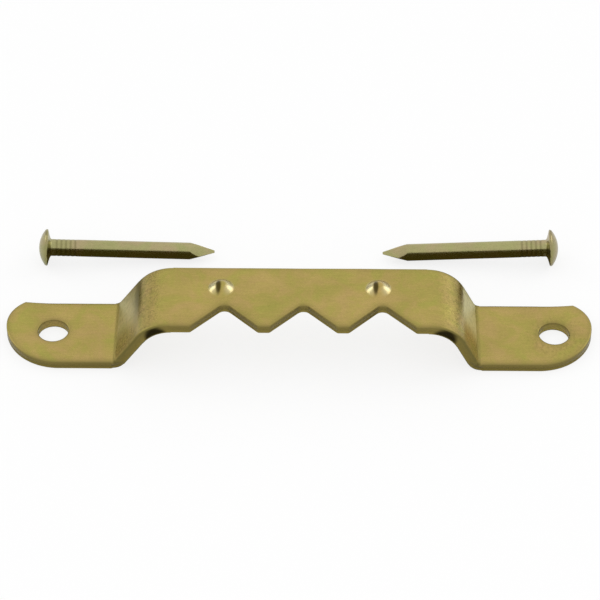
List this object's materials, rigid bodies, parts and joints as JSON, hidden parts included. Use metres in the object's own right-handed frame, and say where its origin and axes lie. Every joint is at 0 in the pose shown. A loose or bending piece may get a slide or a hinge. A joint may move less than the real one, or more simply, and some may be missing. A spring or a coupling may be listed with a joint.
{
  "type": "sawtooth hanger",
  "caption": "Sawtooth picture hanger: a bent brass-plated strip with a notched edge and nail holes in its ears, and the loose nails that fix it.",
  "frame": {"origin": "midway between the centres of the two nail holes, on the mounting plane (the ears' undersides)", "axes": "+X along the strip to the right when the toothed edge faces the viewer; -Y towards the toothed edge, which faces down in use; +Z from the frame's back towards the wall"},
  "size_m": [0.0445, 0.0137, 0.0051],
  "materials": {
    "plated_strip": "satin brass plating on rolled steel strip",
    "plated_nail": "satin brass plating on drawn steel wire"
  },
  "bodies": {
    "hanger": {"sawtooth_plate": "plated_strip"},
    "left_nail": {"left_nail": "plated_nail"},
    "right_nail": {"right_nail": "plated_nail"}
  },
  "joints": [
    {"name": "left_nail_lift", "type": "slide", "parent": "hanger", "child": "left_nail", "axis": [0, 0, 1], "range_m": [0, 0.02]},
    {"name": "right_nail_lift", "type": "slide", "parent": "hanger", "child": "right_nail", "axis": [0, 0, 1], "range_m": [0, 0.02]}
  ]
}
